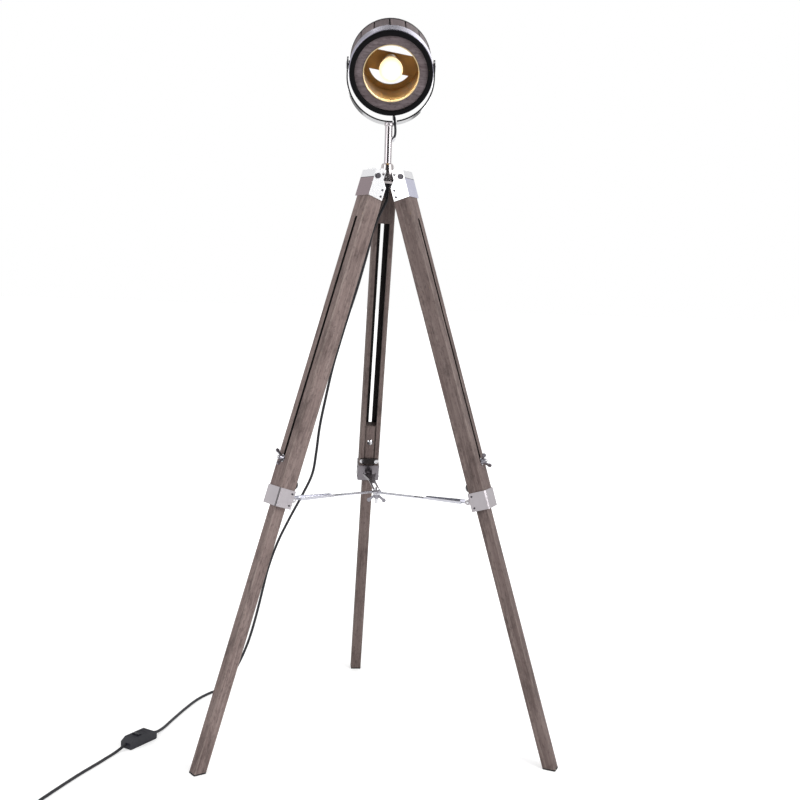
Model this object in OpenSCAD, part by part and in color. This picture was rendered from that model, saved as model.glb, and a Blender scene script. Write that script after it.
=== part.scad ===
// Tripod spotlight floor lamp: a barrel lamp head of wooden staves in a steel yoke, on a
// swivelling stem, over three folding legs with sliding lower halves and a slotted spreader.
// Millimetres, +Z up.  The origin is on the floor, at the middle of the tripod's box.

/* [Tripod] */
// Lean of each leg from the vertical, degrees
leg_lean = 17.9; // [16:0.1:20]
// Height of the leg hinges above the floor
hinge_z = 1190; // [1150:1:1230]
// Distance of the leg hinges from the tripod's axis
hinge_r = 27; // [27:0.5:30]

/* [Upper legs] */
// Width of an upper leg, across the slot
leg_w = 45; // [43:1:48]
// Depth of an upper leg
leg_d = 36; // [36:0.5:38]
// Width of the channel that the lower leg slides in
channel_w = 24.6; // [24.5:0.1:26]
// Thickness of the channel's outer wall
channel_wall = 7.5; // [6:0.5:9]
// Width of the long slot in that wall
slot_w = 7.5; // [7:0.5:9]

/* [Lower legs] */
// Width of a lower leg
lower_w = 24; // [22:0.5:24]
// Depth of a lower leg
lower_d = 25.2; // [22:0.2:25.2]
// Thickness of the rubber foot pads
pad_h = 3; // [2:0.5:5]

/* [Spreader] */
// Thickness of a spreader arm
arm_t = 2; // [1.5:0.1:2]
// Width of the slotted end of an arm
arm_tip_w = 14; // [13:0.5:16]
// Width of an arm near the leg
arm_root_w = 29; // [24:1:30]

/* [Stem and yoke] */
// Outer diameter of the stem tube
stem_d = 15.5; // [15:0.5:17]
// Inside half width of the yoke
yoke_r = 87; // [86:0.5:90]
// Width of the yoke strap
yoke_w = 46; // [36:1:48]
// Thickness of the yoke strap
yoke_t = 3; // [2.5:0.5:4]

/* [Lamp head] */
// Downward tilt of the head as photographed, degrees
head_tilt = 22.5; // [10:0.5:30]
// Overall length of the barrel
head_len = 138; // [130:1:140]
// Outer radius of the staves
barrel_r = 84; // [80:0.5:84]
// Number of staves
staves = 16; // [12:1:20]
// Diameter of the front opening
mouth_d = 113; // [100:1:116]
// Radius of the bulb's globe
bulb_r = 24; // [20:0.5:28]

/* [Hidden] */
$fn = 48;

AZ_LEFT = 210;
AZ_RIGHT = 330;
AZ_REAR = 90;

wood = [0.47, 0.41, 0.38];
wood_dark = [0.36, 0.31, 0.30];
chrome = [0.80, 0.80, 0.83];
black = [0.06, 0.06, 0.07];
brass = [0.62, 0.44, 0.22];

// Tripod: distances down a leg are measured from its hinge, along the leg
upper_top = 22;
upper_end = 704;
channel_top = 95;
slot_top = 96;
slot_end = 619;
lower_top = 570;
slide_bolt_s = 611;
clamp_top = 668;
clamp_t = 2;
clamp_mid = (clamp_top + upper_end) / 2;
lower_out = leg_d / 2 - channel_wall - 0.3;
lower_mid = lower_out - lower_d / 2;
bolt_r = 3;
bore_r = bolt_r + 0.05;
foot_out = hinge_r + hinge_z * tan(leg_lean) + lower_out / cos(leg_lean);
foot_front = foot_out * sin(30) + lower_w / 2 * cos(30);
// The tripod's axis stands this far along Y, so that the origin is the middle of the box
axis_y = -(foot_out - foot_front) / 2;

// Leg brackets
sheet = 2;
tongue_w = 12.4;
ear_gap = 12.8;
ear_t = 3;

// Spreader: the arms' pivots stand inwards of the legs' own middle lines
pivot_in = 30;
pivot_r = hinge_r + clamp_mid * sin(leg_lean) - pivot_in * cos(leg_lean);
pivot_z = hinge_z - clamp_mid * cos(leg_lean) - pivot_in * sin(leg_lean);
pin_r = 2;
layer = arm_t + 0.4;
arm_slot_from = pivot_r - 87;
arm_tip = pivot_r + 11;
nut_play = 1.6;

// Stem, yoke and head
collar_z = 1198;
collar_h = 17;
stem_top = 1293;
yoke_bottom = 1296;
tilt_z = 1411;
head_turn = -4.5;
yoke_mid = yoke_bottom + yoke_t + yoke_r;
lead_x = 11;
lead_r = 2.5;
shell_r = 78;
rim_w = 8;
band_from = 13;
rear_hole_r = 50;
flange_hole_r = 47;
flange_z = -49;
liner_r = 59.5;
half = head_len / 2;
pivot_head_h = 2;
bulb_mid = 28;
bulb_base = -half + 29;
bulb_neck = -half + 52;
neck_h = bulb_mid - bulb_r * cos(50) - bulb_neck;

// Mains cord: diameter, and its route in the tripod's own frame, seen from its axis
cord_r = 3;
gland_tip = 1146;
hang_route = [
    [0, 0, 1145.8], [0, 0, 1139], [-5, 3.5, 1127], [-16, 10, 1103], [-26, 20, 1072],
    [-32, 30, 1040], [-41, 41, 1000], [-52, 51, 955], [-67, 66, 900],
    [-83, 81, 838], [-97, 93, 780], [-109, 105, 715],
    [-120, 114, 650], [-126, 120, 590], [-133, 126, 542], [-152, 142, 494], [-178, 165, 437],
    [-205, 187, 373], [-225, 202, 310], [-238, 212, 250], [-253, 222, 180], [-269, 233, 120],
    [-290, 243, 66], [-313, 247, 25], [-337, 238, 5], [-356, 220, 3], [-380, 182, 3],
    [-402, 129, 3], [-423, 70, 3], [-439, 22, 3], [-451.5, -11, 6], [-459.8, -23.6, 10]];
tail_route = [
    [-508.4, -86.6, 10], [-516, -97, 6], [-530, -120, 3], [-553, -163, 3], [-578, -208, 3],
    [-602, -256, 3], [-624, -302, 3], [-634, -325, 3], [-641, -352, 3], [-644.3, -381, 3]];
switch_mid = [-484, -55, 0];
switch_turn = 52.4;
switch_len = 77;
switch_w = 27;
switch_h = 21;
coil_mid = [-610, -402, 0];
coil_r = 33;
coil_rows = 2;

// ---- helpers ----

module tripod() { translate([0, axis_y, 0]) children(); }

// Local frame of a leg: X outwards, Y across, Z up along the leg, the origin on its hinge
module at_leg(az) {
    tripod() rotate(az) translate([hinge_r, 0, hinge_z]) rotate([0, -leg_lean, 0]) children();
}

// Local frame of a spreader arm: X inwards to the tripod's axis, Z up, the origin on its pivot
module at_arm(az) {
    tripod() rotate(az) translate([pivot_r, 0, pivot_z]) rotate(180) children();
}

// Everything on the stem, turned about the tripod's axis as photographed
module swivel() { tripod() rotate(head_turn) children(); }

// Local frame of the lamp head: Z forwards along the barrel, Y up, the origin on the tilt axis
module at_head() {
    swivel() translate([0, 0, tilt_z]) rotate([90 + head_tilt, 0, 0]) children();
}

// Rectangle with its corners cut, from x0 to x1 and half width w
module bevelled(x0, x1, w, c) {
    polygon([[x0 + c, -w], [x1 - c, -w], [x1, -w + c], [x1, w - c],
             [x1 - c, w], [x0 + c, w], [x0, w - c], [x0, -w + c]]);
}

module ring(r_in, r_out, z0, z1) {
    translate([0, 0, z0]) difference() {
        cylinder(r = r_out, h = z1 - z0);
        translate([0, 0, -1]) cylinder(r = r_in, h = z1 - z0 + 2);
    }
}

// Two cylinders across Y, at +y and -y, such as screw heads on both cheeks
module across(r, y0, y1) {
    for (side = [-1, 1])
        rotate([side * -90, 0, 0]) translate([0, 0, y0]) cylinder(r = r, h = y1 - y0);
}

// Wing nut on +Z: a tapered boss and two round-ended wings that lean outwards
module wing(boss_h, span) {
    difference() {
        union() {
            cylinder(r1 = 6, r2 = 4.6, h = boss_h);
            for (side = [0, 180]) rotate(side) translate([3.6, 1.2, 2.2]) rotate([90, 0, 0])
                linear_extrude(2.4) wing_outline(span);
        }
        translate([0, 0, -1]) cylinder(r = bore_r, h = boss_h + 2);
    }
}

module wing_outline(span) {
    rotate(40) translate([0, -2.6]) square([span - 8, 5.2]);
    rotate(40) translate([span - 8, 0]) circle(r = 4.2);
    translate([0, -1]) square([3.4, 5]);
}

// Tube swept along a route, with round turns between its points
function bend(a, b, c, d, t) =
    0.5 * (2 * b + (c - a) * t + (2 * a - 5 * b + 4 * c - d) * t * t
           + (3 * b - a - 3 * c + d) * t * t * t);
function smooth(p, steps) = concat([for (i = [0 : len(p) - 2], k = [0 : steps - 1])
    bend(p[max(i - 1, 0)], p[i], p[i + 1], p[min(i + 2, len(p) - 1)], k / steps)],
    [p[len(p) - 1]]);
function unit(v) = v / norm(v);
function heading(p, i) = unit(p[min(i + 1, len(p) - 1)] - p[max(i - 1, 0)]);

module tube(p, r, sides) {
    n = len(p);
    up = [0.9, 0.3, 0.31];
    points = [for (i = [0 : n - 1])
        let (h = heading(p, i), u = unit(cross(h, up)), v = cross(h, u))
        for (k = [0 : sides - 1]) p[i] + r * (u * cos(360 * k / sides) + v * sin(360 * k / sides))];
    walls = [for (i = [0 : n - 2], k = [0 : sides - 1])
        let (a = i * sides + k, b = i * sides + (k + 1) % sides)
        each [[a, b, b + sides], [a, b + sides, a + sides]]];
    start = [[for (k = [0 : sides - 1]) sides - 1 - k]];
    end = [[for (k = [0 : sides - 1]) (n - 1) * sides + k]];
    polyhedron(points, [for (f = concat(walls, start, end)) [for (k = [len(f) - 1 : -1 : 0]) f[k]]]);
}

// ---- hub and stem collar ----

module hub() color(chrome) tripod() difference() {
    union() {
        translate([0, 0, 1178]) cylinder(r = 15, h = collar_z - 1178);
        translate([0, 0, 1174]) cylinder(r1 = 10, r2 = 15, h = 4);
        for (az = [AZ_LEFT, AZ_RIGHT, AZ_REAR]) rotate(az) hub_tongue();
    }
    translate([0, 0, 1170]) cylinder(r = 5, h = 40);
    translate([0, 0, 1184]) cylinder(r = stem_d / 2 + 0.05, h = 30);
    for (az = [AZ_LEFT, AZ_RIGHT, AZ_REAR]) rotate(az)
        translate([hinge_r, 20, hinge_z]) rotate([90, 0, 0]) cylinder(r = bolt_r, h = 40);
}

module hub_tongue() {
    translate([8, -tongue_w / 2, hinge_z - 7.5]) cube([hinge_r - 8, tongue_w, 15]);
    translate([hinge_r, tongue_w / 2, hinge_z]) rotate([90, 0, 0]) cylinder(r = 7.5, h = tongue_w);
}

// One bolt through each tongue; its head and its nut stand outside the bracket's ears
module hinge_bolts() color(chrome) tripod()
    for (az = [AZ_LEFT, AZ_RIGHT, AZ_REAR]) rotate(az) translate([hinge_r, 0, hinge_z])
        hinge_bolt();

module hinge_bolt() {
    out = ear_gap / 2 + ear_t + 0.2;
    rotate([90, 0, 0]) {
        translate([0, 0, -out - 4]) cylinder(r = bolt_r, h = 2 * out + 8);
        for (side = [0, 180]) rotate([side, 0, 0]) translate([0, 0, out]) {
            cylinder(r = 5.4, h = 3.4);
            translate([0, 0, 3.4]) cylinder(r1 = 5.4, r2 = 4.2, h = 0.8);
        }
    }
}

module stem_collar() color(chrome) tripod() difference() {
    translate([0, 0, collar_z]) union() {
        cylinder(r1 = 14.5, r2 = 12.5, h = collar_h - 3);
        translate([0, 0, collar_h - 3]) cylinder(r1 = 12.5, r2 = 10.5, h = 3);
    }
    translate([0, 0, collar_z - 1]) cylinder(r = stem_d / 2 + 0.05, h = collar_h + 2);
}

// Tapered strain relief where the cord leaves the underside of the hub
module cord_gland() color(black) tripod() translate([0, 0, gland_tip]) difference() {
    union() {
        cylinder(r1 = cord_r + 0.9, r2 = 5.6, h = 26);
        translate([0, 0, 24]) cylinder(r = 7, h = 4);
        translate([0, 0, 28]) cylinder(r = 4.8, h = 6);
    }
    translate([0, 0, -1]) cylinder(r = cord_r, h = 1);
}

// ---- stem and yoke, which swivel in the collar ----

module stem_tube() color(chrome) swivel() difference() {
    union() {
        translate([0, 0, 1185]) cylinder(r = stem_d / 2, h = stem_top - 1188);
        translate([0, 0, stem_top - 3]) cylinder(r1 = stem_d / 2, r2 = stem_d / 2 + 2, h = 3);
        translate([0, 0, stem_top]) cylinder(r = stem_d / 2 + 2, h = yoke_bottom - stem_top);
    }
    translate([0, 0, 1180]) cylinder(r = stem_d / 2 - 1.5, h = stem_top - 1190);
    translate([0, 0, stem_top - 20]) cylinder(r = 2.5, h = 40);
    at_bush() cylinder(r = lead_r + 0.5, h = 14, center = true);
}

// Flat strap bent to a U, with round ends, and a notch beside the stem for the lamp's lead
module yoke() color(chrome) swivel() difference() {
    union() {
        translate([0, 0, yoke_mid]) rotate([90, 0, 0]) rotate([0, 0, 180])
            translate([0, 0, -yoke_w / 2]) rotate_extrude(angle = 180, $fn = 96)
                translate([yoke_r, 0]) square([yoke_t, yoke_w]);
        for (side = [-1, 1]) translate([side * (yoke_r + yoke_t / 2), 0, 0]) yoke_side();
    }
    for (side = [-1, 1]) translate([side * yoke_r, 0, tilt_z]) rotate([0, 90, 0])
        cylinder(r = 3.05, h = 20, center = true);
    translate([0, 0, yoke_bottom - 1]) cylinder(r = 2.55, h = yoke_t + 2);
    translate([lead_x, 0, yoke_bottom - 4]) cylinder(r = lead_r + 1.5, h = 12);
    translate([lead_x - lead_r - 1.5, -yoke_w, yoke_bottom - 4]) cube([2 * lead_r + 3, yoke_w, 12]);
}

module yoke_side() {
    translate([-yoke_t / 2, -yoke_w / 2, yoke_mid]) cube([yoke_t, yoke_w, tilt_z - yoke_mid - 6]);
    intersection() {
        translate([-yoke_t / 2, 0, tilt_z - 6]) rotate([0, 90, 0])
            cylinder(r = yoke_w / 2, h = yoke_t);
        translate([-yoke_t / 2, -yoke_w / 2, tilt_z - 8]) cube([yoke_t, yoke_w, 40]);
    }
}

// Screw that holds the yoke down on the stem, its round head inside the yoke
module yoke_screw() color(chrome) swivel() translate([0, 0, stem_top - 8]) {
    cylinder(r = 2.5, h = yoke_bottom + yoke_t - stem_top + 8.5);
    translate([0, 0, yoke_bottom + yoke_t - stem_top + 8.2]) cylinder(r1 = 5, r2 = 3.4, h = 2.4);
}

// Bush in the side of the stem, where the lead comes out
module lead_bush() color(chrome) swivel() difference() {
    union() {
        at_bush() translate([0, 0, -4]) cylinder(r = lead_r + 0.5, h = 11.9);
        difference() {
            at_bush() cylinder(r = lead_r + 2, h = 7.9);
            translate([0, 0, 1200]) cylinder(r = stem_d / 2, h = 80);
        }
    }
    at_bush() translate([0, 0, -5]) cylinder(r = lead_r - 0.6, h = 14);
}

module at_bush() { translate([6.4, 0, 1262]) rotate([0, 35, 0]) children(); }

// The two screws that the head tilts on; the yoke carries them
module pivot_screws() color(chrome) swivel() for (side = [-1, 1])
    translate([side * (shell_r - 3), 0, tilt_z]) rotate([0, side * 90, 0]) {
        cylinder(r = 3, h = yoke_r + yoke_t - shell_r + 3);
        translate([0, 0, yoke_r + yoke_t - shell_r + 3]) cylinder(r1 = 8, r2 = 6.5, h = pivot_head_h);
    }

// Slack lead from the stem's bush, up through the yoke's notch and into the head's strain relief
lead_route = [
    [11.2, 0, 1268.8], [12.7, 0, 1271.9], [13.6, 0, 1277], [13.6, 0, 1284], [13, 0, 1291],
    [12.2, 0, 1297], [11.6, 2, 1304.6], [11, 7.6, 1310.2], [10.8, 15.2, 1312.2],
    [10.6, 21.6, 1310.8], [10.4, 28.6, 1309.4], [10.2, 35.6, 1311.4], [10.1, 41.2, 1317],
    [10, 43.4, 1324.6], [10, 42.4, 1329.5]];

module lamp_lead() color(black) swivel() tube(smooth(lead_route, 2), lead_r, 8);

// ---- lamp head ----

module barrel_shell() color(black) at_head() difference() {
    union() {
        ring(shell_r - 2, shell_r, -half + 5, half - rim_w);
        for (side = [-1, 1]) rotate([0, side * 90, 0])
            translate([0, 0, shell_r - 4]) cylinder(r = 9, h = barrel_r + 2.6 - shell_r + 4);
    }
    rotate([0, 90, 0]) cylinder(r = 3.05, h = 200, center = true);
}

// Wooden staves with a dark gap between each pair, cut out round the tilt bosses
module staves_ring() color(wood) at_head() difference() {
    for (i = [0 : staves - 1]) rotate(94.6 + i * 360 / staves)
        rotate_extrude(angle = 360 / staves - 2, $fn = 96)
            translate([shell_r, -half + rim_w]) square([barrel_r - shell_r, half + band_from - rim_w]);
    rotate([0, 90, 0]) cylinder(r = 9.3, h = 200, center = true);
    gland_seat();
}

module gland_seat() {
    translate([10, 0, -8]) rotate([90, 0, 0]) cylinder(r = 6, h = 100);
}

// Pressed band in front of the staves, with a flange at each end that stands on the shell
module chrome_band() color(chrome) at_head() rotate_extrude($fn = 96) polygon([
    [shell_r, band_from], [barrel_r, band_from], [barrel_r + 1, band_from + 1],
    [barrel_r + 1, half - rim_w - 1], [barrel_r, half - rim_w], [shell_r, half - rim_w],
    [shell_r, half - rim_w - 1.5], [barrel_r - 0.5, half - rim_w - 1.5],
    [barrel_r - 0.5, band_from + 1.5], [shell_r, band_from + 1.5]]);

// Rolled front rim
module front_rim() color(black) at_head() rotate_extrude($fn = 96) {
    translate([mouth_d / 2 + 17, half - rim_w]) square([barrel_r - mouth_d / 2 - 17, rim_w - 3]);
    translate([mouth_d / 2 + 20, half - 3]) square([barrel_r - mouth_d / 2 - 23, 3]);
    translate([mouth_d / 2 + 20, half - 3]) circle(r = 3);
    translate([barrel_r - 3, half - 3]) circle(r = 3);
    translate([mouth_d / 2 + 17, half - rim_w - 6]) square([shell_r - 2.1 - mouth_d / 2 - 17, 6]);
}

// Wooden ring round the opening
module face_ring() color(wood) at_head()
    ring(mouth_d / 2 + 0.1, mouth_d / 2 + 17, half - 13.9, half - 5);

// Rear cover with its large opening and a ring of vents
module rear_cover() color(black) at_head() difference() {
    union() {
        ring(rear_hole_r, barrel_r + 1, -half + 2, -half + 5);
        ring(shell_r, barrel_r + 1, -half + 5, -half + rim_w);
        rotate_extrude($fn = 96) translate([barrel_r - 2, -half + 2]) circle(r = 2);
    }
    for (i = [0 : 23]) rotate(i * 15 + 7.5) translate([64, -1.5, -half]) cube([9, 3, 10]);
}

// Bright inner liner: the mouth's lip, the wall, and the rear flange that carries the socket bar
module reflector_liner() color(brass) at_head() difference() {
    rotate_extrude($fn = 96) polygon([
        [flange_hole_r, flange_z], [liner_r, flange_z], [liner_r, half - 14], [mouth_d / 2, half - 14],
        [mouth_d / 2, half - 3], [mouth_d / 2 - 1.5, half - 3], [mouth_d / 2 - 1.5, half - 15.5],
        [liner_r - 1.5, half - 15.5], [liner_r - 1.5, flange_z + 1.5], [flange_hole_r, flange_z + 1.5]]);
    for (a = [-30, 0, 30]) rotate(a) translate([-2, -liner_r - 2, half - 36]) cube([4, 4, 16]);
}

module socket_bar() color(brass) at_head() rotate(-9) difference() {
    intersection() {
        translate([-60, -21, flange_z + 1.5]) cube([120, 41, 2]);
        translate([0, 0, flange_z + 1]) cylinder(r = liner_r - 1.7, h = 4);
    }
    translate([0, 0, flange_z]) cylinder(r = 6, h = 20);
}

module lamp_socket() color([0.85, 0.84, 0.80]) at_head() translate([0, 0, flange_z + 3.5]) difference() {
    union() {
        cylinder(r = 15, h = 6);
        translate([0, 0, 6]) cylinder(r1 = 15, r2 = 18, h = 4);
        translate([0, 0, 10]) cylinder(r = 18, h = 17);
        translate([0, 0, -3.4]) cylinder(r = 5.9, h = 4);
    }
    translate([0, 0, 3]) cylinder(r = 13.6, h = 30);
}

module bulb() color([1, 0.97, 0.88]) at_head() {
    translate([0, 0, bulb_mid]) sphere(r = bulb_r, $fn = 64);
    translate([0, 0, bulb_base]) cylinder(r1 = 9, r2 = 13.3, h = 4);
    translate([0, 0, bulb_base + 4]) cylinder(r = 13.3, h = bulb_neck - bulb_base - 4);
    translate([0, 0, bulb_neck]) cylinder(r1 = 13.3, r2 = bulb_r * sin(50), h = neck_h);
}

// Strain relief where the lead comes out of the underside of the barrel
module head_gland() color(black) at_head() translate([10, 0, -8]) rotate([90, 0, 0]) difference() {
    union() {
        translate([0, 0, shell_r + 0.1]) cylinder(r = 5.8, h = barrel_r - shell_r);
        translate([0, 0, barrel_r - 2]) cylinder(r1 = 5.8, r2 = 3.4, h = 8.4);
    }
    translate([0, 0, barrel_r + 6.3]) cylinder(r = lead_r, h = 1);
}

// ---- legs ----

// Upper leg: a wooden channel, solid at its top, with a long slot through its outer wall
module upper_leg(az) color(wood) at_leg(az) difference() {
    translate([0, 0, -upper_end]) linear_extrude(upper_end - upper_top)
        bevelled(-leg_d / 2, leg_d / 2, leg_w / 2, 2.5);
    translate([-leg_d / 2 - 1, -channel_w / 2, -upper_end - 1])
        cube([leg_d + 1 - channel_wall, channel_w, upper_end + 1 - channel_top]);
    translate([0, -slot_w / 2, -slot_end + slot_w / 2])
        cube([leg_d, slot_w, slot_end - slot_top - slot_w]);
    for (s = [slot_top + slot_w / 2, slot_end - slot_w / 2])
        translate([0, 0, -s]) rotate([0, 90, 0]) cylinder(r = slot_w / 2, h = leg_d);
}

// Sheet bracket round the top of the leg, with two ears that take the hinge bolt
module leg_bracket(az) color(chrome) at_leg(az) difference() {
    union() {
        for (side = [-1, 1]) {
            translate([0, side * (leg_w / 2 + sheet / 2) + sheet / 2, 0]) rotate([90, 0, 0])
                linear_extrude(sheet) bracket_cheek();
            translate([0, side * (ear_gap + ear_t) / 2 + ear_t / 2, 0]) rotate([90, 0, 0])
                linear_extrude(ear_t) bracket_ear();
        }
        translate([leg_d / 2, -leg_w / 2 - sheet, -52]) cube([sheet, leg_w + 2 * sheet, 56]);
        translate([11, -leg_w / 2 - sheet, 2]) cube([leg_d / 2 + sheet - 11, leg_w + 2 * sheet, sheet]);
        translate([-11, -leg_w / 2, -upper_top]) cube([leg_d / 2 + 11, leg_w, sheet]);
    }
    rotate([90, 0, 0]) cylinder(r = bore_r, h = 60, center = true);
}

module bracket_cheek() {
    polygon([[-4, 10], [8, 10], [11, 4], [leg_d / 2 + sheet, 4], [leg_d / 2 + sheet, -52],
             [-15, -52], [-15, -24], [-4, -10]]);
}

module bracket_ear() {
    circle(r = 8);
    translate([-8, -upper_top]) square([leg_d / 2 + 8, upper_top]);
    translate([0, -upper_top]) square([leg_d / 2, upper_top + 8]);
}

// Sleeve over the lower end of the upper leg, its bottom plate and the lug for the spreader
module leg_clamp(az) color(chrome) at_leg(az) difference() {
    union() {
        translate([0, 0, -upper_end - clamp_t]) linear_extrude(upper_end + clamp_t - clamp_top)
            bevelled(-leg_d / 2 - clamp_t, leg_d / 2 + clamp_t, leg_w / 2 + clamp_t, 2.5);
        for (side = [-1, 1])
            translate([0, side * 6.6 + 1.25, -clamp_mid]) rotate([90, 0, 0]) linear_extrude(2.5) {
                translate([-pivot_in, 0]) circle(r = 5.5);
                translate([-pivot_in, -5.5]) square([pivot_in - leg_d / 2 - 1, 11]);
            }
    }
    translate([0, 0, -upper_end]) linear_extrude(upper_end)
        bevelled(-leg_d / 2, leg_d / 2, leg_w / 2, 2.5);
    translate([lower_mid - lower_d / 2 - 0.4, -lower_w / 2 - 0.4, -upper_end - clamp_t - 1])
        cube([lower_d + 0.8, lower_w + 0.8, 10]);
    translate([-pivot_in, 0, -clamp_mid]) rotate([90, 0, 0]) cylinder(r = pin_r, h = 30, center = true);
}

// Cross strap that closes the channel above the clamp
module leg_strap(az) color(wood_dark) at_leg(az)
    translate([-leg_d / 2 - 2, -20, -664]) cube([2, 40, 14]);

// Screw heads of the bracket, the strap and the clamp, and the pin of the spreader's lug
module leg_screws(az) color(chrome) at_leg(az) {
    for (s = [31, 45]) translate([-9, 0, -s]) across(2.3, leg_w / 2 + sheet, leg_w / 2 + sheet + 1);
    translate([12, 0, -8]) across(5.6, leg_w / 2 + sheet, leg_w / 2 + sheet + 3);
    for (s = [clamp_top + 7, upper_end - 5]) translate([-12, 0, -s])
        across(2, leg_w / 2 + clamp_t, leg_w / 2 + clamp_t + 1);
    for (side = [-1, 1]) translate([-leg_d / 2 - 2, side * 16, -657]) rotate([0, -90, 0]) difference() {
        cylinder(r1 = 5.6, r2 = 4.4, h = 2.6);
        translate([0, 0, 1.6]) cylinder(r = 1.8, h = 2);
    }
    translate([-pivot_in, 0, -clamp_mid]) rotate([90, 0, 0]) {
        cylinder(r = pin_r, h = 15.7, center = true);
        across_pin_heads();
    }
}

module across_pin_heads() {
    for (side = [0, 180]) rotate([side, 0, 0]) translate([0, 0, 7.85]) cylinder(r1 = 3.4, r2 = 2.4, h = 1.4);
}

// Lower leg: a plain bar that slides in the channel, cut level at the floor
module lower_leg(az) color(wood) difference() {
    at_leg(az) translate([0, 0, -1300]) linear_extrude(1300 - lower_top)
        bevelled(lower_mid - lower_d / 2, lower_out, lower_w / 2, 1.5);
    translate([-700, -700, -200]) cube([1400, 1400, 200 + pad_h]);
    at_leg(az) translate([0, 0, -slide_bolt_s]) rotate([0, 90, 0])
        cylinder(r = bolt_r, h = 80, center = true);
}

module foot_pad(az) color(black) intersection() {
    at_leg(az) translate([0, 0, -1300]) linear_extrude(200)
        bevelled(lower_mid - lower_d / 2, lower_out, lower_w / 2, 1.5);
    translate([-700, -700, 0]) cube([1400, 1400, pad_h]);
}

// Round-headed bolt through the lower leg, out of the slot, with its washer
module slide_bolt(az) color(chrome) at_leg(az) translate([0, 0, -slide_bolt_s]) rotate([0, 90, 0]) {
    translate([0, 0, lower_mid - lower_d / 2 - 2]) cylinder(r1 = 5, r2 = 7, h = 2);
    translate([0, 0, lower_mid - lower_d / 2]) cylinder(r = bolt_r, h = 47);
    translate([0, 0, leg_d / 2 + 0.3]) ring(bolt_r, 7.5, 0, 1.2);
}

module wing_nut(az) color(chrome) at_leg(az) translate([leg_d / 2 + 1.7, 0, -slide_bolt_s])
    rotate([0, 90, 0]) rotate(35) wing(9, 22);

// ---- spreader ----

// Slotted arm: a barrel on the lug's pin, a flanged root and a flat slotted end in its own layer
module spreader_arm(az, level) color(chrome) at_arm(az) difference() {
    union() {
        rotate([90, 0, 0]) cylinder(r = 4.6, h = 10, center = true);
        translate([0, -5, level * layer - arm_t / 2]) cube([16, 10, arm_t]);
        translate([0, 0, level * layer - arm_t / 2]) linear_extrude(arm_t) arm_outline();
        for (side = [-1, 1]) translate([0, 0, level * layer - arm_t / 2]) linear_extrude(5)
            arm_flange(side);
    }
    rotate([90, 0, 0]) cylinder(r = pin_r + 0.05, h = 30, center = true);
    translate([0, 0, -10]) linear_extrude(20) {
        translate([arm_slot_from + 3.4, -3.4]) square([pivot_r - arm_slot_from - 3.4, 6.8]);
        for (x = [arm_slot_from + 3.4, pivot_r]) translate([x, 0]) circle(r = 3.4);
    }
}

module arm_outline() {
    polygon([[13, -arm_root_w / 2], [24, -arm_root_w / 2], [98, -arm_tip_w / 2],
             [arm_tip - arm_tip_w / 2, -arm_tip_w / 2], [arm_tip - arm_tip_w / 2, arm_tip_w / 2],
             [98, arm_tip_w / 2], [24, arm_root_w / 2], [13, arm_root_w / 2]]);
    translate([arm_tip - arm_tip_w / 2, 0]) circle(r = arm_tip_w / 2);
}

module arm_flange(side) {
    polygon([[13, side * arm_root_w / 2], [24, side * arm_root_w / 2], [98, side * arm_tip_w / 2],
             [98, side * (arm_tip_w / 2 - 1.6)], [24, side * (arm_root_w / 2 - 1.6)],
             [13, side * (arm_root_w / 2 - 1.6)]]);
}

// Bolt that hangs in the three slots, with its round head on top
module centre_bolt() color(chrome) tripod() translate([0, 0, pivot_z]) {
    translate([0, 0, layer + arm_t / 2 + 0.3]) {
        cylinder(r = 7.5, h = 1.2);
        translate([0, 0, 1.2]) cylinder(r1 = 5.6, r2 = 4, h = 3);
    }
    translate([0, 0, -26]) cylinder(r = bolt_r, h = 26 + layer + arm_t / 2 + 0.4);
    translate([0, 0, -layer - arm_t / 2 - nut_play - 1.2]) cylinder(r = 7.5, h = 1.2);
}

module centre_wing_nut() color(chrome) tripod()
    translate([0, 0, pivot_z - layer - arm_t / 2 - nut_play - 1.4])
        rotate([180, 0, 0]) rotate(10) wing(9, 24);

// ---- mains cord ----

module cord_hang() color(black) tripod() tube(smooth(hang_route, 2), cord_r, 8);
module cord_tail() color(black) tripod() tube(smooth(tail_route, 1), cord_r, 8);

// Round coil of the length that the photograph doesn't show
module cord_coil() color(black) tripod() translate(coil_mid) rotate_extrude($fn = 64)
    translate([coil_r - cord_r, 0]) square([2 * cord_r, 2 * cord_r * coil_rows]);

module at_switch() {
    tripod() translate(switch_mid) rotate(switch_turn) children();
}

// In-line switch: a long case with a window for the rocker
module switch_case() color(black) at_switch() difference() {
    translate([0, switch_w / 2, 0]) rotate([90, 0, 0]) linear_extrude(switch_w) polygon([
        [-switch_len / 2, 2], [-switch_len / 2 + 2, 0], [switch_len / 2 - 2, 0], [switch_len / 2, 2],
        [switch_len / 2, 14], [switch_len / 2 - 12, switch_h], [-switch_len / 2 + 12, switch_h],
        [-switch_len / 2, 14]]);
    translate([-13, -8, 11]) cube([26, 16, 20]);
}

// Rocker with two sloping halves, lying with its far half down
module switch_rocker() color(black) at_switch() translate([0, 0, 17]) rotate([0, 8, 0]) {
    difference() {
        translate([0, 7.6, 0]) rotate([90, 0, 0]) linear_extrude(15.2)
            polygon([[-11.5, -1], [0, -4], [11.5, -1], [11.5, 5.5], [0, 4], [-11.5, 5.5]]);
        rotate([90, 0, 0]) cylinder(r = 1.5, h = 30, center = true);
    }
}

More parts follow.
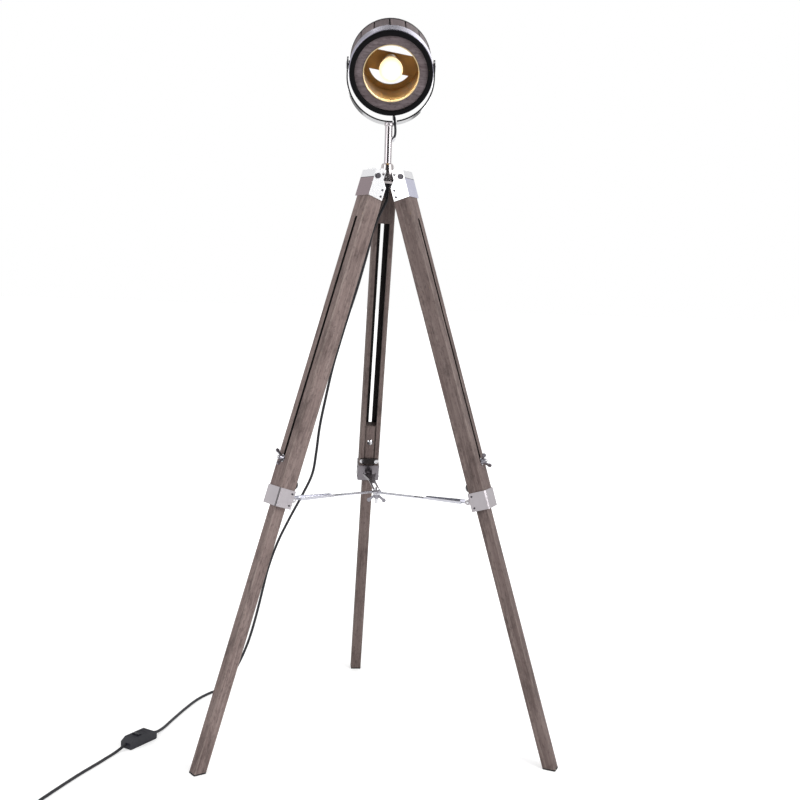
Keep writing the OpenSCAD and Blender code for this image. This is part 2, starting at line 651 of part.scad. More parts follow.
// Two-pin plug lying on the coil
module plug() color(black) tripod() translate(coil_mid)
    translate([13, -24, 2 * cord_r * coil_rows + 8]) rotate([0, 90, 0]) {
        linear_extrude(26) bevelled(-8, 8, 17, 4);
        translate([0, 0, 26]) linear_extrude(6) bevelled(-6, 6, 14, 3);
        for (side = [-1, 1]) translate([0, side * 9.5, 32]) cylinder(r = 2.3, h = 19);
        translate([0, 0, -22]) cylinder(r1 = 4, r2 = 7, h = 22);
    }

hub();
hinge_bolts();
stem_collar();
cord_gland();
stem_tube();
yoke();
yoke_screw();
lead_bush();
pivot_screws();
lamp_lead();
barrel_shell();
staves_ring();
chrome_band();
front_rim();
face_ring();
rear_cover();
reflector_liner();
socket_bar();
lamp_socket();
bulb();
head_gland();
upper_leg(AZ_LEFT);  // upper_leg_left
upper_leg(AZ_RIGHT);  // upper_leg_right
upper_leg(AZ_REAR);  // upper_leg_rear
leg_bracket(AZ_LEFT);  // leg_bracket_left
leg_bracket(AZ_RIGHT);  // leg_bracket_right
leg_bracket(AZ_REAR);  // leg_bracket_rear
leg_clamp(AZ_LEFT);  // leg_clamp_left
leg_clamp(AZ_RIGHT);  // leg_clamp_right
leg_clamp(AZ_REAR);  // leg_clamp_rear
leg_strap(AZ_LEFT);  // leg_strap_left
leg_strap(AZ_RIGHT);  // leg_strap_right
leg_strap(AZ_REAR);  // leg_strap_rear
leg_screws(AZ_LEFT);  // leg_screws_left
leg_screws(AZ_RIGHT);  // leg_screws_right
leg_screws(AZ_REAR);  // leg_screws_rear
lower_leg(AZ_LEFT);  // lower_leg_left
lower_leg(AZ_RIGHT);  // lower_leg_right
lower_leg(AZ_REAR);  // lower_leg_rear
slide_bolt(AZ_LEFT);  // slide_bolt_left
slide_bolt(AZ_RIGHT);  // slide_bolt_right
slide_bolt(AZ_REAR);  // slide_bolt_rear
foot_pad(AZ_LEFT);  // foot_pad_left
foot_pad(AZ_RIGHT);  // foot_pad_right
foot_pad(AZ_REAR);  // foot_pad_rear
wing_nut(AZ_LEFT);  // wing_nut_left
wing_nut(AZ_RIGHT);  // wing_nut_right
wing_nut(AZ_REAR);  // wing_nut_rear
spreader_arm(AZ_LEFT, 0);  // spreader_arm_left
spreader_arm(AZ_RIGHT, -1);  // spreader_arm_right
spreader_arm(AZ_REAR, 1);  // spreader_arm_rear
centre_bolt();
centre_wing_nut();
cord_hang();
switch_case();
switch_rocker();
cord_tail();
cord_coil();
plug();
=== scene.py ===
"""Tripod spotlight floor lamp: camera, light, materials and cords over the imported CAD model.

Metres and degrees, in the model's own frame: +Z up, the lamp looks along -Y.
"""
import math

import bpy
from mathutils import Matrix, Vector


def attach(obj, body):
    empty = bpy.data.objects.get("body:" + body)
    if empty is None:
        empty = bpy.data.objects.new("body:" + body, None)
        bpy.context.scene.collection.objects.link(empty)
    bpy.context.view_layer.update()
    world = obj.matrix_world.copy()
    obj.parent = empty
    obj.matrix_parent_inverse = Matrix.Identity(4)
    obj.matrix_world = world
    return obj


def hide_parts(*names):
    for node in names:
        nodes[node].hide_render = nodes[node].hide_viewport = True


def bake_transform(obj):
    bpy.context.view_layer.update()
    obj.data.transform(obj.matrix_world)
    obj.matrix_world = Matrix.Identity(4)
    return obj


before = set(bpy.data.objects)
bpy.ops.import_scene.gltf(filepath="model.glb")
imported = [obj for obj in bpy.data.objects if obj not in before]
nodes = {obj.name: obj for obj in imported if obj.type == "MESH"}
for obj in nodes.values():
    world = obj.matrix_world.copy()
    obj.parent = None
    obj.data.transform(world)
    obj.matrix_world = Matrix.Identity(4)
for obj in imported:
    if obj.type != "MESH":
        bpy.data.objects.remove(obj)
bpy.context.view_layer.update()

AXIS_Y = -0.1003234
TILT_Z = 1.411
HEAD_TILT = math.radians(22.5)
HEAD_TURN = math.radians(-4.5)
LEG_LEAN = math.radians(17.9)
HINGE_R = 0.027
HINGE_Z = 1.19
STAVES = 16
FIRST_SEAM = 93.6 / 360
AZIMUTH = {"left": 210.0, "right": 330.0, "rear": 90.0}


# ---- camera ----

CAMERA_PLACE = (-0.2256, -2.3673 + AXIS_Y, 0.9682)
YAW_PITCH_ROLL = (6.476, -5.839, 2.0315)
FOCAL_MM = 50.924


def make_camera():
    yaw, pitch, roll = (math.radians(a) for a in YAW_PITCH_ROLL)
    ahead = Vector((math.sin(yaw) * math.cos(pitch), math.cos(yaw) * math.cos(pitch),
                    math.sin(pitch)))
    right = Vector((math.cos(yaw), -math.sin(yaw), 0))
    up = right.cross(ahead)
    right2 = math.cos(roll) * right + math.sin(roll) * up
    up2 = -math.sin(roll) * right + math.cos(roll) * up
    data = bpy.data.cameras.new("camera")
    data.sensor_width = 36
    data.lens = FOCAL_MM
    data.clip_end = 200
    camera = bpy.data.objects.new("camera", data)
    turn = Matrix((right2, up2, -ahead)).transposed().to_4x4()
    camera.matrix_world = Matrix.Translation(CAMERA_PLACE) @ turn
    bpy.context.collection.objects.link(camera)
    bpy.context.scene.camera = camera


make_camera()


# ---- cords: the same routes as the CAD solids, in metres ----

CORD_R = 0.003
LEAD_R = 0.0025


def bend(a, b, c, d, t):
    return 0.5 * (2 * b + (c - a) * t + (2 * a - 5 * b + 4 * c - d) * t * t
                  + (3 * b - a - 3 * c + d) * t * t * t)


def smooth(points, steps):
    p = [Vector(q) for q in points]
    last = len(p) - 1
    out = []
    for i in range(last):
        for k in range(steps):
            out.append(bend(p[max(i - 1, 0)], p[i], p[i + 1], p[min(i + 2, last)], k / steps))
    return [Vector((q.x, q.y, max(q.z, CORD_R))) for q in out + [p[last]]]


def tube(name, points, radius, material):
    data = bpy.data.curves.new(name, "CURVE")
    data.dimensions = "3D"
    data.bevel_depth = radius
    data.bevel_resolution = 5
    data.use_fill_caps = True
    spline = data.splines.new("POLY")
    spline.points.add(len(points) - 1)
    for place, p in zip(spline.points, points):
        place.co = (*p, 1)
    spline.use_smooth = True
    data.materials.append(material)
    made = bpy.data.objects.new(name, data)
    bpy.context.collection.objects.link(made)
    return made


def as_mesh(curve):
    """The same tube as a mesh."""
    name = curve.name
    bpy.context.view_layer.update()
    graph = bpy.context.evaluated_depsgraph_get()
    data = bpy.data.meshes.new_from_object(curve.evaluated_get(graph))
    bpy.data.objects.remove(curve)
    made = bpy.data.objects.new(name, data)
    bpy.context.collection.objects.link(made)
    return made


def from_axis(points):
    return [Vector((x / 1000, y / 1000 + AXIS_Y, z / 1000)) for x, y, z in points]


HANG = [
    (0, 0, 1145.8), (0, 0, 1139), (-5, 3.5, 1127), (-16, 10, 1103), (-26, 20, 1072),
    (-32, 30, 1040), (-41, 41, 1000), (-52, 51, 955), (-67, 66, 900),
    (-83, 81, 838), (-97, 93, 780), (-109, 105, 715),
    (-120, 114, 650), (-126, 120, 590), (-133, 126, 542), (-152, 142, 494), (-178, 165, 437),
    (-205, 187, 373), (-225, 202, 310), (-238, 212, 250), (-253, 222, 180), (-269, 233, 120),
    (-290, 243, 66), (-313, 247, 25), (-337, 238, 5), (-356, 220, 3), (-380, 182, 3),
    (-402, 129, 3), (-423, 70, 3), (-439, 22, 3), (-451.5, -11, 6), (-459.8, -23.6, 10)]
TAIL = [
    (-508.4, -86.6, 10), (-516, -97, 6), (-530, -120, 3), (-553, -163, 3), (-578, -208, 3),
    (-602, -256, 3), (-624, -302, 3), (-634, -325, 3), (-641, -352, 3), (-644.3, -381, 3)]
COIL_MID = (-610, -402)
COIL_R = 33
LEAD = [
    (11.2, 0, 1268.8), (12.7, 0, 1271.9), (13.6, 0, 1277), (13.6, 0, 1284), (13, 0, 1291),
    (12.2, 0, 1297), (11.6, 2, 1304.6), (11, 7.6, 1310.2), (10.8, 15.2, 1312.2),
    (10.6, 21.6, 1310.8), (10.4, 28.6, 1309.4), (10.2, 35.6, 1311.4), (10.1, 41.2, 1317),
    (10, 43.4, 1324.6), (10, 42.02, 1330.4)]


def coil_points():
    """Two turns, one on top of the other, then a quarter of a smaller turn up to the plug."""
    out = []
    for angle in range(192, 901, 12):
        height = 3
        for layer in (1, 2):
            t = min(max((angle - (layer * 360 + 40)) / 100, 0), 1)
            height += 6.05 * t * t * (3 - 2 * t)
        a = math.radians(angle)
        out.append((COIL_MID[0] + COIL_R * math.cos(a), COIL_MID[1] + COIL_R * math.sin(a), height))
    for angle in range(192, 271, 13):
        a = math.radians(angle)
        rise = (angle - 180) / 90
        out.append((COIL_MID[0] - 9 + 24 * math.cos(a), COIL_MID[1] + 24 * math.sin(a),
                    15.1 + 4.9 * rise * rise * (3 - 2 * rise)))
    return out


# ---- materials ----

def srgb(*rgb):
    def one(v):
        v /= 255
        return v / 12.92 if v <= 0.04045 else ((v + 0.055) / 1.055) ** 2.4
    return (*(one(v) for v in rgb), 1)


class Nodes:
    """A material's node tree, with short calls for the nodes used here."""

    def __init__(self, name):
        self.material = bpy.data.materials.new(name)
        self.material.use_nodes = True
        self.tree = self.material.node_tree
        self.shader = self.tree.nodes["Principled BSDF"]

    def add(self, kind, **values):
        node = self.tree.nodes.new(kind)
        for key, value in values.items():
            if hasattr(node, key):
                setattr(node, key, value)
            else:
                node.inputs[key.replace("_", " ")].default_value = value
        return node

    def link(self, source, target):
        self.tree.links.new(source, target)

    def object_coords(self):
        return self.add("ShaderNodeTexCoord").outputs["Object"]

    def mapped(self, source, move=(0, 0, 0), turn=(0, 0, 0), scale=(1, 1, 1), kind="POINT"):
        node = self.add("ShaderNodeMapping", vector_type=kind)
        node.inputs["Location"].default_value = move
        node.inputs["Rotation"].default_value = turn
        if kind == "POINT":
            node.inputs["Scale"].default_value = scale
        self.link(source, node.inputs["Vector"])
        return node.outputs["Vector"]

    def noise(self, source, scale, detail=4, rough=0.55, distortion=0.0):
        node = self.add("ShaderNodeTexNoise", Scale=scale, Detail=detail, Roughness=rough,
                        Distortion=distortion)
        self.link(source, node.inputs["Vector"])
        return node.outputs["Fac"]

    def ramp(self, source, *stops):
        node = self.add("ShaderNodeValToRGB")
        ramp = node.color_ramp
        ramp.elements[0].position, ramp.elements[0].color = stops[0]
        ramp.elements[1].position, ramp.elements[1].color = stops[-1]
        for place, colour in stops[1:-1]:
            ramp.elements.new(place).color = colour
        self.link(source, node.inputs["Fac"])
        return node.outputs["Color"]

    def span(self, source, low, high, start=0.3, end=0.7):
        node = self.add("ShaderNodeMapRange")
        for key, value in (("From Min", start), ("From Max", end),
                           ("To Min", low), ("To Max", high)):
            node.inputs[key].default_value = value
        self.link(source, node.inputs["Value"])
        return node.outputs["Result"]

    def mix(self, factor, a, b, blend="MIX"):
        node = self.add("ShaderNodeMix", data_type="RGBA", blend_type=blend)
        for value, target in ((factor, node.inputs[0]), (a, node.inputs[6]), (b, node.inputs[7])):
            if hasattr(value, "is_linked"):
                self.link(value, target)
            else:
                target.default_value = value
        return node.outputs[2]

    def maths(self, operation, a, b=0.0):
        node = self.add("ShaderNodeMath", operation=operation)
        for value, target in ((a, node.inputs[0]), (b, node.inputs[1])):
            if hasattr(value, "is_linked"):
                self.link(value, target)
            else:
                target.default_value = value
        return node.outputs[0]

    def bump(self, height, strength, distance):
        node = self.add("ShaderNodeBump", Strength=strength, Distance=distance)
        self.link(height, node.inputs["Height"])
        self.link(node.outputs["Normal"], self.shader.inputs["Normal"])

    def set(self, **values):
        for key, value in values.items():
            target = self.shader.inputs[key.replace("_", " ")]
            if hasattr(value, "is_linked"):
                self.link(value, target)
            else:
                target.default_value = value


def wood(name, turn, tones, seed, along=(0, 0, 0)):
    """Weathered oak whose grain runs along the local Z after the turn."""
    n = Nodes(name)
    local = n.mapped(n.object_coords(), move=along, turn=turn)
    far = n.mapped(local, move=(seed * 0.37, seed * 0.21, seed * 0.11), scale=(1, 1, 0.035))
    streaks = n.noise(far, 210, 6, 0.65, 0.4)
    wide = n.noise(n.mapped(far, scale=(1, 1, 1.6)), 46, 3, 0.5, 0.8)
    pores = n.noise(n.mapped(local, scale=(1, 1, 0.02)), 900, 2, 0.5)
    cloud = n.noise(local, 9, 3, 0.6)
    base = n.ramp(streaks, (0.28, tones[0]), (0.5, tones[1]), (0.74, tones[2]))
    base = n.mix(n.span(wide, 0.0, 0.55, 0.38, 0.7), base, tones[3])
    base = n.mix(n.span(pores, 0.0, 0.5, 0.62, 0.72), base, tones[4])
    base = n.mix(n.span(cloud, 0.0, 0.28, 0.42, 0.7), base, tones[2])
    stain = n.noise(n.mapped(local, scale=(1, 1, 0.3)), 38, 6, 0.75, 0.3)
    base = n.mix(n.span(stain, 0.0, 0.75, 0.50, 0.68), base, tones[4])
    speck = n.noise(n.mapped(local, scale=(1, 1, 0.4)), 260, 4, 0.7)
    base = n.mix(n.span(speck, 0.0, 0.55, 0.52, 0.68), base, tones[4])
    n.set(Base_Color=base, Roughness=n.span(streaks, 0.62, 0.82))
    n.shader.inputs["Specular IOR Level"].default_value = 0.32
    n.bump(n.maths("ADD", n.maths("MULTIPLY", streaks, 0.7), n.maths("MULTIPLY", pores, -0.5)),
           0.55, 0.0006)
    return n


LEG_TONES = (srgb(104, 88, 85), srgb(138, 120, 116), srgb(166, 150, 145), srgb(120, 103, 99),
             srgb(74, 61, 59))
# Paler tones for the chamfer faces along the legs' edges: a painted highlight where the faces turn.
EDGE_HIGHLIGHT_TONES = (srgb(114, 99, 95), srgb(146, 130, 125), srgb(172, 158, 152), srgb(128, 112, 107),
              srgb(88, 75, 72))
HEAD_TONES = (srgb(88, 76, 78), srgb(112, 99, 101), srgb(134, 122, 122), srgb(98, 86, 88),
              srgb(66, 57, 58))
STRAP_TONES = (srgb(30, 26, 26), srgb(42, 37, 37), srgb(56, 50, 50), srgb(34, 30, 30),
               srgb(22, 19, 19))
FACE_TONES = (srgb(78, 66, 68), srgb(108, 96, 99), srgb(138, 127, 130), srgb(88, 76, 78),
              srgb(46, 37, 38))
# Near-black wood for the faces inside the legs' channels and slots: painted shade of the recess.
CHANNEL_SHADE_TONES = (srgb(24, 20, 20), srgb(34, 29, 29), srgb(46, 40, 39), srgb(28, 24, 24),
                srgb(16, 13, 13))


# Scales a tone set darker: painted shade for the right and rear legs' wood.
def tones_in_painted_shade(tones, share):
    return [tuple(share * c for c in tone[:3]) + (1,) for tone in tones]


def leg_place(side):
    """Matrix of a leg: Z up along it, X outwards, from its hinge."""
    about = Matrix.Rotation(math.radians(AZIMUTH[side]), 4, "Z")
    lean = Matrix.Rotation(-LEG_LEAN, 4, "Y")
    hinge = Matrix.Translation((HINGE_R, 0, HINGE_Z))
    return Matrix.Translation((0, AXIS_Y, 0)) @ about @ hinge @ lean


def head_frame():
    """Matrix of the lamp head: Z forwards along the barrel, Y up."""
    turn = Matrix.Rotation(HEAD_TURN, 4, "Z") @ Matrix.Rotation(math.pi / 2 + HEAD_TILT, 4, "X")
    return Matrix.Translation((0, AXIS_Y, TILT_Z)) @ turn


def head_coords(n):
    """Object coordinates in the lamp head's own frame."""
    inverse = head_frame().inverted()
    return n.mapped(n.object_coords(), move=inverse.to_translation(),
                    turn=inverse.to_3x3().to_euler("XYZ"))


def stave_wood():
    """Each stave has its own tone, and its grain runs along the barrel."""
    n = Nodes("stave_wood")
    local = head_coords(n)
    gradient = n.add("ShaderNodeTexGradient", gradient_type="RADIAL")
    n.link(local, gradient.inputs["Vector"])
    turned_back = n.maths("ADD", gradient.outputs["Fac"], 0.5 - FIRST_SEAM)
    number = n.maths("FLOOR", n.maths("MULTIPLY", turned_back, STAVES))
    own = n.add("ShaderNodeTexWhiteNoise", noise_dimensions="1D")
    n.link(n.maths("ADD", number, 3.7), own.inputs["W"])
    shift = n.add("ShaderNodeCombineXYZ")
    n.link(own.outputs["Value"], shift.inputs["Z"])
    apart = n.add("ShaderNodeVectorMath", operation="ADD")
    n.link(local, apart.inputs[0])
    n.link(shift.outputs[0], apart.inputs[1])
    far = n.mapped(apart.outputs[0], scale=(1, 1, 0.05))
    streaks = n.noise(far, 240, 6, 0.65, 0.5)
    wide = n.noise(far, 60, 3, 0.5, 0.8)
    t = HEAD_TONES
    base = n.ramp(streaks, (0.28, t[0]), (0.5, t[1]), (0.74, t[2]))
    base = n.mix(n.span(wide, 0.0, 0.55, 0.38, 0.7), base, t[3])
    shade = n.ramp(own.outputs["Value"], (0.0, (0.80, 0.79, 0.80, 1)), (1.0, (1.18, 1.15, 1.14, 1)))
    n.set(Base_Color=n.mix(1.0, base, shade, "MULTIPLY"), Roughness=n.span(streaks, 0.5, 0.72))
    n.bump(streaks, 0.5, 0.0005)
    return n.material


def metal(name, colour, low, high, grain=160.0, bump=0.04, metallic=1.0):
    n = Nodes(name)
    at = n.object_coords()
    wear = n.noise(at, 14, 4, 0.6)
    fine = n.noise(at, grain, 3, 0.5)
    dull = tuple(c * 0.9 for c in colour[:3]) + (1,)
    rub = n.maths("ADD", n.maths("MULTIPLY", wear, 0.6), n.maths("MULTIPLY", fine, 0.4))
    n.set(Base_Color=n.mix(n.span(wear, 0.0, 1.0), colour, dull), Metallic=metallic,
          Roughness=n.span(rub, low, high))
    n.bump(fine, bump, 0.0004)
    return n.material


def plain(name, dark, light, low, high, scale=500.0, bump=0.12, spec=0.5):
    """Moulded plastic, rubber and paint: a fine skin with a little wear in it."""
    n = Nodes(name)
    at = n.object_coords()
    skin = n.noise(at, scale, 3, 0.55)
    wear = n.noise(at, 22, 4, 0.6)
    n.set(Base_Color=n.mix(n.span(wear, 0.0, 1.0), dark, light), Roughness=n.span(wear, low, high))
    n.shader.inputs["Specular IOR Level"].default_value = spec
    n.bump(skin, bump, 0.0003)
    return n.material


def liner_metal():
    """Satin brass lacquer with fine turned rings round the barrel's axis."""
    n = Nodes("liner_brass")
    local = head_coords(n)
    rings = n.noise(n.mapped(local, scale=(0.05, 0.05, 1)), 900, 3, 0.5)
    tarnish = n.noise(local, 30, 4, 0.6)
    n.set(Base_Color=n.mix(n.span(tarnish, 0.0, 1.0), srgb(178, 146, 94), srgb(152, 121, 74)),
          Metallic=0.15, Roughness=n.span(rings, 0.4, 0.52))
    n.shader.inputs["Specular IOR Level"].default_value = 0.25
    n.bump(rings, 0.12, 0.0003)
    return n.material


def glowing_glass():
    """Opal globe, lit from inside."""
    n = Nodes("opal_glass")
    at = n.object_coords()
    frost = n.noise(at, 60, 3, 0.5)
    n.set(Base_Color=n.mix(n.span(frost, 0.0, 1.0), srgb(255, 250, 240), srgb(250, 244, 232)),
          Roughness=n.span(frost, 0.12, 0.2), Emission_Strength=0.9)
    n.shader.inputs["Emission Color"].default_value = srgb(255, 232, 190)
    return n.material


def cord_skin():
    """Black flexible sheath with faint lengthwise scuffs."""
    return plain("cord_sheath", srgb(18, 18, 24), srgb(30, 30, 38), 0.38, 0.5, 700.0, 0.08, 0.45)


def paint_material(slot, material):
    for node in nodes.values():
        data = node.data
        for i, old in enumerate(data.materials):
            if old and old.name.split(".")[0] == slot:
                data.materials[i] = material


chrome = metal("bright_chrome", (0.78, 0.78, 0.81, 1), 0.05, 0.16)
satin = metal("satin_zinc", (0.52, 0.485, 0.51, 1), 0.26, 0.4, 240.0, 0.10)
# A darker copy of the zinc: painted shade on the rear leg's clamp and spreader arm.
rear_zinc_painted_shade = metal("zinc_painted_shade", (0.26, 0.24, 0.26, 1), 0.28, 0.42, 240.0, 0.10)
nut_steel = metal("wing_nut_steel", (0.36, 0.35, 0.39, 1), 0.2, 0.32, 240.0, 0.08)
arm_steel = metal("arm_steel", (0.66, 0.66, 0.72, 1), 0.12, 0.24, 200.0, 0.05)
dark_steel = metal("dark_steel", (0.09, 0.085, 0.095, 1), 0.3, 0.42, 200.0, 0.05)
# Darker, warmer copies of the chrome for the stem, hub and collar: painted reflection of the darker
# things they mirror.
stem_chrome = metal("stem_chrome", (0.60, 0.56, 0.58, 1), 0.16, 0.26, 200.0, 0.05)
hub_chrome = metal("hub_chrome", (0.56, 0.52, 0.52, 1), 0.14, 0.26, 200.0, 0.06)
cheek_plate = metal("bracket_cheek", (0.88, 0.88, 0.90, 1), 0.2, 0.32, 200.0, 0.05)
rim_lacquer = plain("rim_lacquer", srgb(6, 6, 8), srgb(11, 10, 13), 0.45, 0.58, 380.0, 0.08, 0.1)
lip_enamel = plain("lip_enamel", srgb(214, 190, 140), srgb(226, 204, 158), 0.2, 0.3, 200.0, 0.04)
face_wood = wood("face_wood", (0, math.radians(90), 0), FACE_TONES, 11).material
# Painted shade for the inside of the legs' channels and slots.
channel_shade_wood = wood("channel_wood_painted_shade", (0, 0, 0), CHANNEL_SHADE_TONES, 13).material
band_metal = metal("band_steel", (0.56, 0.53, 0.66, 1), 0.22, 0.34, 300.0, 0.08)
stave = stave_wood()
MATERIALS = {
    "chrome": chrome,
    "black_paint": plain("satin_black_paint", srgb(26, 26, 30), srgb(38, 37, 41), 0.3, 0.44,
                         380.0, 0.10),
    "brass": liner_metal(),
    "ceramic": plain("glazed_ceramic", srgb(225, 222, 214), srgb(236, 233, 226), 0.1, 0.2, 90.0,
                     0.04),
    "bulb_glass": glowing_glass(),
    "black_plastic": plain("moulded_plastic", srgb(24, 24, 34), srgb(34, 34, 44), 0.32, 0.48,
                           900.0, 0.16),
    "black_cord": cord_skin(),
    "pad_rubber": plain("pad_rubber", srgb(34, 33, 34), srgb(46, 45, 46), 0.7, 0.85, 600.0, 0.3,
                        0.3),
    "dark_wood": wood("strap_wood", (0, math.radians(90), 0), STRAP_TONES, 5).material,
    "weathered_wood": stave,
}
for slot, material in MATERIALS.items():
    paint_material(slot, material)


def give(material, *names):
    for name in names:
        data = nodes[name].data
        for i in range(len(data.materials)):
            data.materials[i] = material


def split(name, *rules):
    """Give the faces that a rule picks, by their centre and normal, a material of their own."""
    data = nodes[name].data
    for place, material, chosen in rules:
        data.materials.append(material)
        inverse, turn = place.inverted(), place.to_3x3().inverted()
        index = len(data.materials) - 1
        for face in data.polygons:
            if chosen(inverse @ face.center, turn @ face.normal):
                face.material_index = index


LIP_R = 0.0567
LIP_FROM = 0.054
LEG_HALF_D = 0.018
CHANNEL_HALF = 0.0123
CHANNEL_FLOOR = 0.0105
SLOT_HALF = 0.00375
TOUCH = 0.0002
SKIN = 0.0005
SCREW_HEAD = 0.001
# Share of the leg tones per side: the right and rear legs are painted darker than the left one as
# painted shade.
LEG_SHADE_SHARE = {"left": 1.0, "right": 0.74, "rear": 0.70}


# Per-side colour of the same bracket plate: painted reflection, dark plum on the left and lavender
# on the right and rear.
PLATE_REFLECTION_TONE = {"left": (0.27, 0.215, 0.23, 1), "right": (0.56, 0.56, 0.68, 1),
              "rear": (0.56, 0.56, 0.60, 1)}
CAP_EDGE = (-0.0165, -0.0085)


def plate_with_painted_cap(side, colour):
    """Outer plate of a bracket: a per-side colour below as painted reflection, a painted dark shade
    line at the edge of its cap, and a painted bright reflection above it for the rounded cap.
    """
    n = Nodes("bracket_plate_painted_light_" + side)
    at = n.object_coords()
    inverse = leg_place(side).inverted()
    local = n.mapped(at, move=inverse.to_translation(), turn=inverse.to_3x3().to_euler("XYZ"))
    split_xyz = n.add("ShaderNodeSeparateXYZ")
    n.link(local, split_xyz.inputs[0])
    height = n.span(split_xyz.outputs["Z"], 0.0, 1.0, *CAP_EDGE)
    worn = n.noise(at, 60, 4, 0.6)
    # Below the cap the side's painted reflection tone, at the cap's edge a painted dark shade line,
    # above it a painted bright reflection.
    base = n.ramp(height, (0.0, colour), (0.40, colour), (0.46, (0.05, 0.045, 0.05, 1)),
                  (0.54, (0.05, 0.045, 0.05, 1)), (0.62, (0.80, 0.80, 0.82, 1)),
                  (1.0, (0.80, 0.80, 0.82, 1)))
    n.set(Base_Color=base, Metallic=1.0, Roughness=n.span(worn, 0.14, 0.26))
    return n.material


def in_channel(centre, normal):
    """Faces of the upper leg's slot and of its channel."""
    aside = abs(centre.y)
    if aside < SLOT_HALF + TOUCH and CHANNEL_FLOOR < centre.x < LEG_HALF_D - SKIN:
        return True
    inside = -LEG_HALF_D + SKIN < centre.x < CHANNEL_FLOOR + TOUCH and aside < CHANNEL_HALF + TOUCH
    return inside and (abs(normal.y) > 0.9 or normal.x < -0.9)


give(band_metal, "chrome_band")
give(rim_lacquer, "front_rim")
give(face_wood, "face_ring")
give(dark_steel, "hinge_bolts")
give(stem_chrome, "stem_tube")
give(hub_chrome, "hub", "stem_collar")
give(nut_steel, "centre_wing_nut")
split("reflector_liner", (head_frame(), lip_enamel,
                          lambda c, n: c.z > LIP_FROM and c.xy.length < LIP_R))
for side in AZIMUTH:
    leg = leg_place(side)
    # The rear clamp and arm take the darker zinc as painted shade.
    give(satin if side != "rear" else rear_zinc_painted_shade, "leg_clamp_" + side)
    give(nut_steel, "wing_nut_" + side)
    give(arm_steel if side != "rear" else rear_zinc_painted_shade, "spreader_arm_" + side)
    give(dark_steel, "leg_screws_" + side)
    split("leg_screws_" + side, (leg, chrome, lambda c, n: c.x < -LEG_HALF_D - SCREW_HEAD))
    plate = plate_with_painted_cap(side, PLATE_REFLECTION_TONE[side])
    split("leg_bracket_" + side, (leg, cheek_plate, lambda c, n: abs(n.y) > 0.8),
          (leg, plate, lambda c, n: n.x > 0.8))


# Legs: the grain follows each leg; the chamfered edges are painted paler as a painted highlight,
# the channel and slot faces are painted dark as painted shade, and the right and rear legs are
# painted darker as painted shade
for seed, side in enumerate(AZIMUTH):
    leg = leg_place(side)
    turn = leg.to_3x3().inverted().to_euler("XYZ")
    faces = wood("leg_wood_" + side, turn, tones_in_painted_shade(LEG_TONES, LEG_SHADE_SHARE[side]), seed + 1).material
    edge_highlight = wood("leg_edge_highlight_" + side, turn, tones_in_painted_shade(EDGE_HIGHLIGHT_TONES, LEG_SHADE_SHARE[side]), seed + 4).material
    # The 45-degree chamfer faces get the paler wood: painted highlight.
    chamfer_highlight = (leg, edge_highlight, lambda c, n: abs(abs(n.y) - abs(n.x)) < 0.15 and abs(n.y) > 0.5)
    give(faces, "upper_leg_" + side, "lower_leg_" + side)
    split("upper_leg_" + side, chamfer_highlight, (leg, channel_shade_wood, in_channel))
    split("lower_leg_" + side, chamfer_highlight)


# ---- cords in place ----

hang_points = smooth(from_axis(HANG), 6)
hang = tube("mains_cord", hang_points, CORD_R, MATERIALS["black_cord"])
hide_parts("cord_hang")
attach(hang, "root")

tail_points = smooth(from_axis(TAIL + coil_points()), 4)
tail = tube("mains_cord_tail", tail_points, CORD_R, MATERIALS["black_cord"])
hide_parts("cord_tail", "cord_coil")
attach(tail, "root")

turned = Matrix.Rotation(HEAD_TURN, 3, "Z")
lead_points = smooth([Vector((0, AXIS_Y, 0)) + turned @ Vector(p) / 1000 for p in LEAD], 4)
lead = as_mesh(tube("lamp_lead_cord", lead_points, LEAD_R, MATERIALS["black_cord"]))
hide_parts("lamp_lead")
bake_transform(lead)


# ---- floor, world and lights ----

def emission_floor():
    """Pale floor that goes to white for the camera and in reflections, and keeps the shadow."""
    n = Nodes("floor")
    at = n.object_coords()
    speck = n.noise(at, 60, 3, 0.5)
    n.set(Base_Color=n.mix(n.span(speck, 0.0, 1.0), (0.86, 0.86, 0.86, 1), (0.87, 0.87, 0.87, 1)),
          Roughness=n.span(speck, 0.88, 0.94))
    n.shader.inputs["Specular IOR Level"].default_value = 0.1
    path = n.add("ShaderNodeLightPath")
    seen = n.maths("MAXIMUM", path.outputs["Is Camera Ray"],
                   n.maths("MULTIPLY", path.outputs["Is Glossy Ray"], 0.3))
    glow = n.add("ShaderNodeEmission")
    glow.inputs["Color"].default_value = (1, 1, 1, 1)
    far = n.add("ShaderNodeVectorMath", operation="LENGTH")
    n.link(at, far.inputs[0])
    strength = n.span(far.outputs["Value"], 0.40, 0.75, 0.75, 1.9)
    n.link(n.maths("MULTIPLY", seen, strength), glow.inputs["Strength"])
    both = n.add("ShaderNodeAddShader")
    n.link(n.shader.outputs[0], both.inputs[0])
    n.link(glow.outputs[0], both.inputs[1])
    n.link(both.outputs[0], n.tree.nodes["Material Output"].inputs["Surface"])
    return n.material


floor_mesh = bpy.data.meshes.new("floor")
floor_mesh.from_pydata([(-40, -40, 0), (40, -40, 0), (40, 40, 0), (-40, 40, 0)], [], [(0, 1, 2, 3)])
floor_mesh.materials.append(emission_floor())
floor = bpy.data.objects.new("floor", floor_mesh)
bpy.context.collection.objects.link(floor)


SKY_LEVEL = 0.62


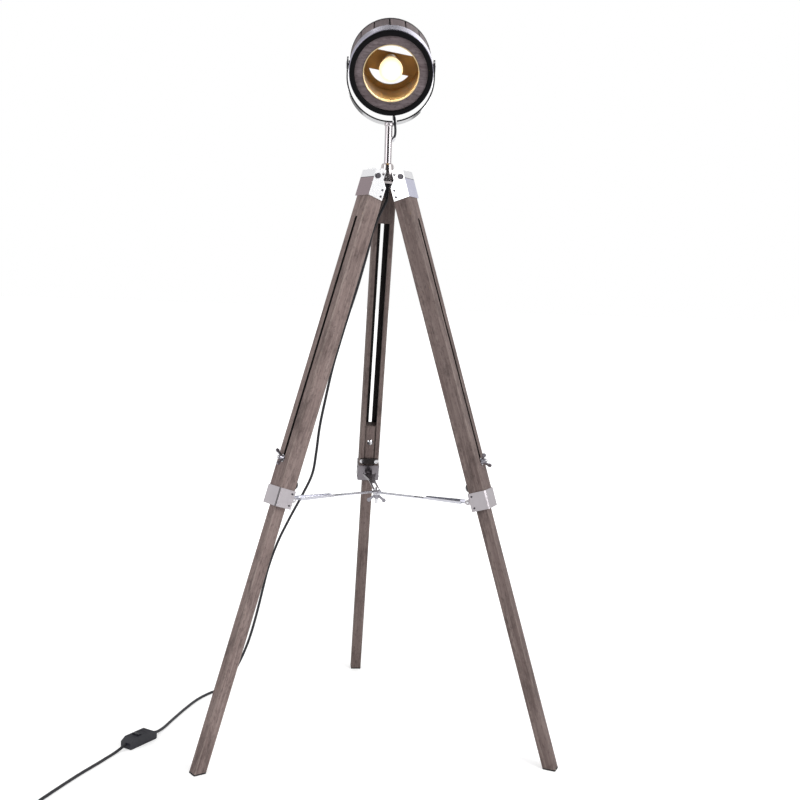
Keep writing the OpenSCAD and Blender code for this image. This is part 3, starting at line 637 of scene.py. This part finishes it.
def studio_world():
    """White for the camera; in metal, white soft boxes with darker gaps between them."""
    world = bpy.data.worlds.new("studio")
    bpy.context.scene.world = world
    world.use_nodes = True
    tree = world.node_tree
    link = tree.links.new
    background = tree.nodes["Background"]
    path = tree.nodes.new("ShaderNodeLightPath")

    def by_ray(ray, other, value):
        node = tree.nodes.new("ShaderNodeMix")
        link(path.outputs[ray], node.inputs[0])
        for source, target in ((other, node.inputs[2]), (value, node.inputs[3])):
            if hasattr(source, "is_linked"):
                link(source, target)
            else:
                target.default_value = source
        return node.outputs[0]

    coords = tree.nodes.new("ShaderNodeTexCoord")
    round_about = tree.nodes.new("ShaderNodeTexGradient")
    round_about.gradient_type = "RADIAL"
    link(coords.outputs["Generated"], round_about.inputs["Vector"])
    boxes = tree.nodes.new("ShaderNodeValToRGB")
    link(round_about.outputs["Fac"], boxes.inputs["Fac"])
    stops = ((0.0, 0.6), (0.05, 1.0), (0.10, 1.0), (0.12, 0.12), (0.236, 0.03), (0.36, 0.12),
             (0.395, 1.0), (0.45, 1.0), (0.5, 0.4), (0.55, 1.0), (0.62, 0.95), (0.67, 0.45),
             (0.735, 0.1), (0.80, 0.45), (0.86, 0.95), (0.94, 1.0), (1.0, 0.6))
    ramp = boxes.color_ramp
    ramp.interpolation = "EASE"
    for place, value in stops[1:-1]:
        ramp.elements.new(place)
    for element, (place, value) in zip(ramp.elements, stops):
        element.position = place
        element.color = (value, value, value, 1)
    level = by_ray("Is Glossy Ray", SKY_LEVEL, boxes.outputs["Color"])
    level = by_ray("Is Transmission Ray", level, 1.0)
    level = by_ray("Is Camera Ray", level, 1.0)
    link(level, background.inputs["Strength"])
    background.inputs["Color"].default_value = (1, 1, 1, 1)


studio_world()


def soft_light(name, place, aim, size, power, colour=(1, 1, 1)):
    data = bpy.data.lights.new(name, "AREA")
    data.shape = "RECTANGLE"
    data.size, data.size_y = size
    data.energy = power
    data.color = colour
    light = bpy.data.objects.new(name, data)
    light.location = place
    light.rotation_euler = (Vector(aim) - Vector(place)).to_track_quat("-Z", "Y").to_euler()
    bpy.context.collection.objects.link(light)


soft_light("key", (2.2, -2.6, 2.4), (0, 0, 0.9), (1.4, 1.8), 62)
soft_light("fill", (-2.6, -1.8, 1.8), (0, 0, 0.8), (1.6, 1.8), 16)
soft_light("back", (0.6, 2.6, 2.2), (0, 0, 0.9), (1.6, 1.6), 14)

GLOW_FORWARD = 0.056
globe = bpy.data.lights.new("lamp_glow", "POINT")
globe.energy = 0.22
globe.color = (1.0, 0.88, 0.64)
globe.shadow_soft_size = 0.006
glow = bpy.data.objects.new("lamp_glow", globe)
glow.location = head_frame() @ Vector((0, 0, GLOW_FORWARD))
glow.visible_glossy = False
bpy.context.collection.objects.link(glow)

bpy.context.scene.view_settings.view_transform = "Standard"
